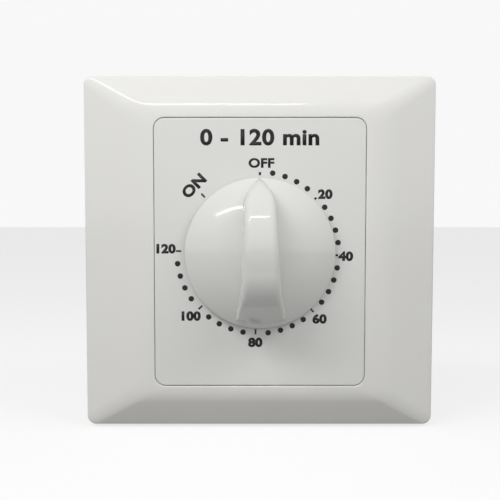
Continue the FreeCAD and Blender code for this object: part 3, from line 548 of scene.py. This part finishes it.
coverSizes = {
    "half": 43.0,
    "cornerR": 2.1,
    "draft": 0.36,
    "edge": 4.2,
    "edgeR": 0.35,
    "front": 8.5,
    "windowX": 25.45,
    "windowZ": 32.3,
    "windowR": 2.7,
    "windowEdge": 0.25,
    "foldR": 9.3,
    "foldTurn": 27.0,
    "hipR": 3.0,
    "hipReach": 3.0,
    "hipBend": 4,
    "wall": 1.8,
    "roof": 2.0,
    "hollowEdge": 1.9,
    "hollowX": 27.3,
    "hollowZ": 34.15,
    "innerCornerR": 0.9,
    "lugX": 22.0,
    "lugHalf": 4.0,
    "lugDeep": 0.8,
    "lugZ": (39.2, 41.3),
    "creaseAngle": 35,
    "cornerSteps": 12,
    "rimSteps": 5,
    "slopeSteps": 6,
    "foldSteps": 14,
    "edgeSteps": 4,
    "roofSteps": 8,
}


def sideProfile():
    # (out from the window, down from the front) along the straight slope, then along the fold
    s = coverSizes
    run = s["half"] - s["draft"] - s["windowZ"]
    drop = s["front"] - s["edge"]
    turn = radians(s["foldTurn"])
    foldOut, foldDown = s["foldR"] * sin(turn), s["foldR"] * (1 - cos(turn))
    slope = hypot(run - foldOut, drop - foldDown)
    path = []
    for k in range(s["slopeSteps"]):
        t = (1 - s["edgeR"] / slope) * (1 - k / s["slopeSteps"])
        path.append((foldOut + (run - foldOut) * t, foldDown + (drop - foldDown) * t))
    for k in range(s["foldSteps"]):
        t = turn * (1 - k / s["foldSteps"])
        path.append((s["foldR"] * sin(t), s["foldR"] * (1 - cos(t))))
    return path


def outerRings():
    # the rim with its rounded edge, then the side profile, which is wider along X
    s = coverSizes
    rim = s["half"] - s["draft"]
    runX, runZ = rim - s["windowX"], rim - s["windowZ"]
    window = s["windowR"] + s["windowEdge"]
    crown = []
    for out, down in sideProfile():
        halfX, halfZ = s["windowX"] + runX * out / runZ, s["windowZ"] + out
        nearWindow = max(0.0, 1 - out / s["hipReach"]) ** 2
        hip = s["hipR"] + (s["cornerR"] - s["hipR"]) * (out / runZ) ** s["hipBend"]
        radius = hip * (1 - nearWindow) + window * nearWindow
        crown.append((halfX, halfZ, radius, down - s["front"]))
    low = (rim, rim, s["cornerR"], s["edgeR"] - s["edge"])
    corner = (rim, rim, s["cornerR"], -s["edge"])
    rings = [(s["half"], s["half"], s["cornerR"], 0), low]
    for k in range(1, s["rimSteps"]):
        t = k / s["rimSteps"]
        mix = zip(low, corner, crown[0])
        rings.append(tuple(a * (1 - t) ** 2 + 2 * b * t * (1 - t) + c * t**2 for a, b, c in mix))
    return rings + crown


def windowRings():
    # the window's rounded edge and its wall
    s = coverSizes
    rings = []
    for k in range(s["edgeSteps"] + 1):
        t = pi / 2 * k / s["edgeSteps"]
        out = s["windowEdge"] * (1 - sin(t))
        down = s["windowEdge"] * (1 - cos(t))
        halfX, halfZ = s["windowX"] + out, s["windowZ"] + out
        rings.append((halfX, halfZ, s["windowR"] + out, down - s["front"]))
    rings.append((s["windowX"], s["windowZ"], s["windowR"], s["roof"] - s["front"]))
    return rings


def innerRings():
    # the hollow behind: an arc under the roof, then the wall back to the rim
    s = coverSizes
    inner = s["half"] - s["wall"]
    run, drop = inner - s["hollowZ"], s["front"] - s["roof"] - s["hollowEdge"]
    bend = (run * run + drop * drop) / 2 / drop
    most = atan2(run, bend - drop)
    rings = []
    for k in range(s["roofSteps"] + 1):
        t = most * k / s["roofSteps"]
        share = bend * sin(t) / run
        halfX = s["hollowX"] + (inner - s["hollowX"]) * share
        halfZ = s["hollowZ"] + run * share
        radius = s["windowR"] + (s["innerCornerR"] - s["windowR"]) * share
        rings.append((halfX, halfZ, radius, -(s["front"] - s["roof"] - bend * (1 - cos(t)))))
    rings.append((inner, inner, s["innerCornerR"], 0))
    return rings


def makeCoverFrame():
    s = coverSizes
    rings = outerRings() + windowRings() + innerRings()
    piece = ringPlane("coverFrame", rings[0], s["cornerSteps"])
    walkRings(piece, rings)
    pickKind("FACE")
    pick(piece, "faces", lambda f: len(f.verts) > 4)
    bpy.ops.mesh.delete(type="ONLY_FACE")
    pickKind("EDGE")
    bpy.ops.mesh.select_all(action="DESELECT")
    bpy.ops.mesh.select_non_manifold()
    bpy.ops.mesh.bridge_edge_loops()
    faceOutward()
    endEdit()
    lugs = []
    for x in (-s["lugX"], s["lugX"]):
        for side in (-1, 1):
            low, high = sorted(side * z for z in s["lugZ"])
            left, right = x - s["lugHalf"], x + s["lugHalf"]
            lugs.append(brick("lug", left, right, -s["lugDeep"], 0, low, high))
    joinInto(piece, lugs)
    smooth(piece, s["creaseAngle"])
    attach(piece, "wall_plate")
    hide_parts("cover_frame")
    dress(piece, "frame_white")


makeCoverFrame()
print("timer switch: cover frame made")


# inner panel: face, rim behind the frame, bosses and holes

panelSizes = {
    "halfX": 25.33,
    "halfZ": 32.18,
    "cornerR": 2.55,
    "front": -8.5,
    "back": -6.3,
    "rimFront": -6.5,
    "rimBack": -5.0,
    "rim": 1.75,
    "rimWidth": 2.0,
    "edgeR": 0.35,
    "ledge": 0.06,
    "ledgeFront": -7.95,
    "screwX": 12.0,
    "screwR": 1.5,
    "headR": 2.6,
    "headDeep": 1.2,
    "bossR": 3.2,
    "bossRoot": 0.5,
    "shaftR": 5.6,
    "past": 1.0,
    "creaseAngle": 35,
    "cornerSteps": 10,
    "edgeSteps": 4,
}


def panelRings():
    s = panelSizes
    x, z, r = s["halfX"], s["halfZ"], s["cornerR"]
    outX, outZ, outR = x + s["rim"], z + s["rim"], r + s["rim"]
    inX, inZ, inR = outX - s["rimWidth"], outZ - s["rimWidth"], outR - s["rimWidth"]
    ledge = (x + s["ledge"], z + s["ledge"], r + s["ledge"])
    rings = [
        (inX, inZ, inR, s["back"]),
        (inX, inZ, inR, s["rimBack"]),
        (outX, outZ, outR, s["rimBack"]),
        (outX, outZ, outR, s["rimFront"]),
        (*ledge, s["rimFront"]),
        (*ledge, s["ledgeFront"]),
        (x, z, r, s["ledgeFront"]),
    ]
    for k in range(s["edgeSteps"] + 1):
        t = pi / 2 * k / s["edgeSteps"]
        inset = s["edgeR"] * (1 - cos(t))
        depth = s["edgeR"] * (1 - sin(t))
        rings.append((x - inset, z - inset, r - inset, s["front"] + depth))
    return rings


def makeInnerPanel():
    s = panelSizes
    rings = panelRings()
    piece = ringPlane("innerPanel", rings[0], s["cornerSteps"])
    walkRings(piece, rings)
    faceOutward()
    endEdit()
    before, behind = s["front"] - s["past"], s["rimBack"] + s["past"]
    screws = (-s["screwX"], s["screwX"])
    for x in screws:
        boss = rod("boss", s["bossR"], s["back"] - s["bossRoot"], s["rimBack"], x)
        cutBy(piece, boss, "UNION")
    cutBy(piece, rod("shaftHole", s["shaftR"], before, behind))
    for x in screws:
        cutBy(piece, rod("screwHole", s["screwR"], before, behind, x))
        cutBy(piece, rod("headSink", s["headR"], before, s["front"] + s["headDeep"], x))
    smooth(piece, s["creaseAngle"])
    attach(piece, "wall_plate")
    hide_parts("inner_panel")
    dress(piece, "panel_white")


makeInnerPanel()
print("timer switch: inner panel made")


# knob: a turned dome with a rim, and the pointed grip that grows out of it

knobSizes = {
    "r": 17.95,
    "base": -9.3,
    "edge": 1.1,
    "dome": 6.3,
    "domeBend": 2.25,
    "domeShare": 0.975,
    "rimR": 0.35,
    "footR": 0.2,
    "rimInnerR": 0.15,
    "hollowEdgeR": 0.3,
    "shell": 1.3,
    "rimWall": 1.6,
    "hollowR": 11.5,
    "hubR": 6.5,
    "half": 4.45,
    "taper": 0.045,
    "tip": 17.85,
    "tipRise": 1.1,
    "apex": 1.2,
    "apexRise": 16.2,
    "tail": -16.9,
    "tailSink": 0.1,
    "tailBowR": 18.5,
    "tailBowReach": 4.0,
    "tailFold": (-9.3, 14.9),
    "tailFoldR": 11.5,
    "shoulder": 10.2,
    "crownR": 1.7,
    "crownShare": (0.6, 0.9),
    "flareFrom": -9.0,
    "flare": 0.02,
    "flareBend": 1.8,
    "flareShare": 0.4,
    "flareMargin": 0.4,
    "widenFrom": -4.0,
    "widen": 1.9e-4,
    "widenBend": 3.3,
    "wallBend": 7,
    "skirt": 0.45,
    "lean": 0.05,
    "turn": -0.8,
    "boreR": 3.0,
    "boreFlat": 2.2,
    "boreEnd": -22.5,
    "borePast": 1.0,
    "clipPocket": (-2, 2, -19.8, -10.8, 2.1, 2.6),
    "creaseAngle": 40,
    "domeWeld": 1e-6,
    "gripWeld": 2e-6,
    "spinSteps": 144,
    "domeSteps": 18,
    "filletSteps": 4,
    "endSteps": 14,
    "foldSteps": 30,
    "riseSteps": 6,
    "fallSteps": 40,
    "topSteps": 6,
    "crownSteps": 8,
    "wallSteps": 14,
}


def domeRise(reach):
    s = knobSizes
    return s["edge"] + s["dome"] * (1 - min(1.0, reach / s["r"]) ** s["domeBend"])


def gripHalf(z):
    # half width at the foot: it widens towards the tail and closes to a point above the shoulder
    s = knobSizes
    wider = s["widen"] * max(0.0, s["widenFrom"] - z) ** s["widenBend"]
    if z <= s["shoulder"]:
        return s["half"] - s["taper"] * z + wider
    wide, length = s["half"] - s["taper"] * s["shoulder"], s["tip"] - s["shoulder"]
    bend = (length**2 + wide**2) / (2 * wide)
    return max(0.0, sqrt(bend**2 - (z - s["shoulder"]) ** 2) - (bend - wide))


def footSpread(z):
    # how far the wall's foot curves out, which grows into a flare at the tail
    s = knobSizes
    return s["flare"] * max(0.0, s["flareFrom"] - z) ** s["flareBend"]


def domePath():
    # (reach, rise, fillet) from the dome's middle over the rim and through the hollow to the hub
    s = knobSizes
    path = []
    for k in range(s["domeSteps"] + 1):
        reach = s["r"] * k / s["domeSteps"] * s["domeShare"]
        path.append((reach, domeRise(reach), 0))
    inner, floor = s["r"] - s["rimWall"], 2 * s["shell"]
    path += [
        (s["r"], s["edge"], s["rimR"]),
        (s["r"], 0, s["footR"]),
        (inner, 0, s["rimInnerR"]),
        (inner, s["shell"], s["hollowEdgeR"]),
        (s["hollowR"], s["shell"], 0),
        (s["hollowR"], floor, s["hollowEdgeR"]),
        (s["hubR"], floor, s["hollowEdgeR"]),
        (s["hubR"], 0, s["footR"]),
        (0, 0, 0),
    ]
    return filleted(path, s["filletSteps"])


def makeDome():
    s = knobSizes
    points = domePath()
    deselectAll()
    bpy.ops.mesh.primitive_plane_add(size=mm)
    piece = named("timerKnob")
    startEdit(piece)
    pickAll()
    bpy.ops.mesh.merge(type="CENTER")
    bpy.ops.transform.translate(value=(0, (s["base"] - points[0][1]) * mm, 0))
    for now, new in zip(points, points[1:]):
        step = ((new[0] - now[0]) * mm, (now[1] - new[1]) * mm, 0)
        bpy.ops.mesh.extrude_region_move(TRANSFORM_OT_translate={"value": step})
    pickAll()
    bpy.ops.mesh.spin(steps=s["spinSteps"], angle=2 * pi, center=(0, 0, 0), axis=(0, 1, 0))
    pickAll()
    bpy.ops.mesh.remove_doubles(threshold=s["domeWeld"])
    faceOutward()
    endEdit()
    return piece


def crownRows():
    # (z, rise) along the crown: the end face, its fold, the top, and the fall to the tip
    s = knobSizes
    foot = domeRise(abs(s["tail"])) - s["tailSink"]
    apex, apexRise = s["apex"], s["apexRise"]
    bent = filleted(
        [(s["tail"], foot, 0), (*s["tailFold"], s["tailFoldR"]), (apex, apexRise, 0)],
        s["foldSteps"],
    )
    (startZ, startRise), (foldZ, foldRise) = bent[:2]
    rows = []
    for k in range(s["endSteps"]):
        t = k / s["endSteps"]
        rows.append((startZ + (foldZ - startZ) * t, startRise + (foldRise - startRise) * t))
    rows += bent[1:-1]
    lastZ, lastRise = rows[-1]
    for k in range(1, s["riseSteps"]):
        t = k / s["riseSteps"]
        rise = lastRise + (apexRise - lastRise) * (2 * t - t * t)
        rows.append((lastZ + (apex - lastZ) * t, rise))
    run, fall = s["tip"] - apex, apexRise - s["tipRise"]
    for k in range(s["fallSteps"] + 1):
        t = pi / 2 * k / s["fallSteps"]
        rows.append((apex + run * sin(t), s["tipRise"] + fall * cos(t)))
    return rows


def gripSection(z, rise):
    # (x, rise) from the middle of the crown out to the skirt that lies under the dome's skin
    s = knobSizes
    half = gripHalf(z)
    foot = domeRise(hypot(half, z))
    tall = max(rise - foot, 0.0)
    room = max(0.0, sqrt(max(0.0, (s["r"] - s["flareMargin"]) ** 2 - z * z)) - half)
    spread = min(footSpread(z), s["flareShare"] * tall, room)
    ofTall, ofHalf = s["crownShare"]
    crownR = min(s["crownR"], ofTall * tall, ofHalf * half)
    topHalf = max(0.0, half - s["lean"] * max(0.0, tall - crownR) - crownR)
    points = [(topHalf * k / s["topSteps"], rise) for k in range(s["topSteps"])]
    for k in range(s["crownSteps"] + 1):
        t = pi / 2 * k / s["crownSteps"]
        points.append((topHalf + crownR * sin(t), rise - crownR * (1 - cos(t))))
    sideX, sideRise = points[-1]
    low = domeRise(hypot(half + spread, z))
    for k in range(1, s["wallSteps"] + 1):
        t = sin(pi / 2 * k / s["wallSteps"])
        x = sideX + (half - sideX) * t + spread * t ** s["wallBend"]
        points.append((x, sideRise + (low - sideRise) * t))
    (beforeX, beforeRise), (x, h) = points[-2:]
    away = hypot(x - beforeX, beforeRise - h) or 1.0
    points.append((x + s["skirt"] * (x - beforeX) / away, h - s["skirt"]))
    return points


def layGrip(piece, rows, across):
    # puts the grid's points, sorted by row, on the grip's sections; the tail's end bows outward
    s = knobSizes
    cells = sorted(piece.data.vertices, key=lambda v: (round(v.co.y, 5), round(v.co.x, 5)))
    for i, (z, rise) in enumerate(rows):
        half = gripSection(z, rise)
        line = [(-x, h) for x, h in reversed(half)] + half[1:]
        near = max(0.0, 1 - (z - s["tail"]) / s["tailBowReach"]) ** 2
        for j, (x, h) in enumerate(line):
            bow = near * (s["tailBowR"] - sqrt(s["tailBowR"] ** 2 - x * x))
            cells[i * across + j].co = (x * mm, (s["base"] - h) * mm, (z + bow) * mm)


def makeGrip():
    s = knobSizes
    rows = crownRows()
    across = 2 * len(gripSection(0, s["apexRise"])) - 1
    deselectAll()
    bpy.ops.mesh.primitive_grid_add(x_subdivisions=across - 1, y_subdivisions=len(rows) - 1, size=1)
    piece = named("knobGrip")
    layGrip(piece, rows, across)
    startEdit(piece, "EDGE")
    pickAll()
    bpy.ops.mesh.remove_doubles(threshold=s["gripWeld"])
    bpy.ops.mesh.select_all(action="DESELECT")
    bpy.ops.mesh.select_non_manifold()
    bpy.ops.mesh.fill()
    faceOutward()
    bpy.ops.transform.rotate(
        value=-radians(s["turn"]), orient_axis="Y", center_override=(0, 0, 0)
    )
    endEdit()
    return piece


def boreTool():
    # the D-shaped hole: a bar with one side cut flat
    s = knobSizes
    tool = rod("bore", s["boreR"], s["boreEnd"], s["base"] + s["borePast"])
    startEdit(tool)
    pickAll()
    bpy.ops.mesh.bisect(
        plane_co=(0, 0, s["boreFlat"] * mm), plane_no=(0, 0, 1), use_fill=True, clear_outer=True
    )
    endEdit()
    return tool


def makeKnob():
    s = knobSizes
    dome = makeDome()
    grip = makeGrip()
    for shell in (dome, grip):
        cutBy(shell, boreTool())
        cutBy(shell, brick("clipPocket", *s["clipPocket"]))
    joinInto(dome, [grip])
    smooth(dome, s["creaseAngle"])
    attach(dome, "knob")
    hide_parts("knob")
    dress(dome, "knob_white")


makeKnob()
print("timer switch: knob made")


# dial print: thin ink on the panel

dialSizes = {
    "middle": (-0.52, 0.0),
    "reach": 19.42,
    "tickReach": 19.0,
    "first": 1.5,
    "step": 9.0,
    "count": 30,
    "dotR": 0.67,
    "dotSteps": 24,
    "ticks": {
        0: (0.55, 0.75),
        5: (0.5, 0.6),
        10: (0.5, 0.6),
        15: (0.42, 1.25),
        20: (0.42, 1.25),
        25: (0.42, 1.25),
        30: (0.42, 1.25),
        35: (0.42, 1.25),
    },
    "skin": (-8.515, -8.49),
    "wide": 1.12,
    "spacing": 1.06,
    "capShare": 0.7,
    "curveSteps": 4,
    "digits": 2.0,
    "digitBold": 0.085,
    "numbers": {
        "20": (15.6, 14.0),
        "40": (20.65, -0.85),
        "60": (14.4, -16.0),
        "80": (-1.1, -21.7),
        "100": (-16.85, -15.3),
        "120": (-22.8, 0.95),
    },
    # place x and z, height, boldness, turn
    "words": {
        "OFF": (0.3, 21.4, 2.1, 0.06, 0),
        "ON": (-15.7, 16.0, 2.5, 0.07, -45),
        "0 - 120 min": (0.0, 27.4, 3.6, 0.05, 0),
    },
}


def dialPlace(k, reach):
    # step k of the dial, counted clockwise from the stop: (x, z, angle)
    s = dialSizes
    a = radians(s["first"] + s["step"] * k)
    return s["middle"][0] + reach * sin(a), s["middle"][1] + reach * cos(a), a


def inkThick(piece):
    # gives flat ink its thickness, from just above the panel's skin to just under it
    front, back = dialSizes["skin"]
    startEdit(piece)
    pickAll()
    lift = (0, (back - front) * mm, 0)
    bpy.ops.mesh.extrude_region_move(TRANSFORM_OT_translate={"value": lift})
    faceOutward()
    endEdit()


def makePrint(name, shapes):
    # joins flat shapes to one printed piece
    piece = joinInto(shapes[0], shapes[1:])
    named(name)
    inkThick(piece)
    piece.data.materials.clear()
    piece.data.materials.append(dialInk)
    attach(piece, "wall_plate")


def makeDots():
    s = dialSizes
    dots = []
    for k in range(s["count"]):
        if k in s["ticks"]:
            continue
        x, z, _ = dialPlace(k, s["reach"])
        deselectAll()
        bpy.ops.mesh.primitive_circle_add(
            vertices=s["dotSteps"],
            radius=s["dotR"] * mm,
            fill_type="NGON",
            location=(x * mm, s["skin"][0] * mm, z * mm),
            rotation=(pi / 2, 0, 0),
        )
        settle()
        dots.append(bpy.context.object)
    makePrint("dialDots", dots)


def makeTicks():
    # a tick is step: (width, length)
    s = dialSizes
    ticks = []
    for k, (width, length) in s["ticks"].items():
        x, z, a = dialPlace(k, s["tickReach"])
        deselectAll()
        bpy.ops.mesh.primitive_plane_add(
            size=1, location=(x * mm, s["skin"][0] * mm, z * mm), rotation=(pi / 2, a, 0)
        )
        bpy.context.object.scale = (width * mm, length * mm, 1)
        settle()
        ticks.append(bpy.context.object)
    makePrint("dialTicks", ticks)


def makeWord(text, x, z, height, bold, turn=0):
    # a printed word, made a mesh before it is put in place
    s = dialSizes
    deselectAll()
    bpy.ops.object.text_add()
    word = bpy.context.object
    word.data.body = text
    word.data.align_x = "CENTER"
    word.data.align_y = "CENTER"
    word.data.size = height / s["capShare"] * mm
    word.data.offset = bold * height * mm
    word.data.space_character = s["spacing"]
    word.data.resolution_u = s["curveSteps"]
    bpy.ops.object.convert(target="MESH")
    word = bpy.context.object
    word.location = (x * mm, s["skin"][0] * mm, z * mm)
    word.rotation_euler = (pi / 2, radians(turn), 0)
    word.scale = (s["wide"], 1, 1)
    settle()
    return word


def makeNumbers():
    s = dialSizes
    size = (s["digits"], s["digitBold"])
    shapes = [makeWord(text, *place, *size) for text, place in s["numbers"].items()]
    shapes += [makeWord(text, *look) for text, look in s["words"].items()]
    makePrint("dialNumbers", shapes)


makeDots()
makeTicks()
makeNumbers()
print("timer switch: dial printed")


# every node that keeps its own mesh gets its finish

replacedNodes = {"cover_frame", "inner_panel", "knob"}
for part in frame["record"]["subparts"]:
    if part["node"] not in replacedNodes:
        dress(frame["nodes"][part["node"]], part["material_slot"])
print("timer switch: inner pieces dressed")
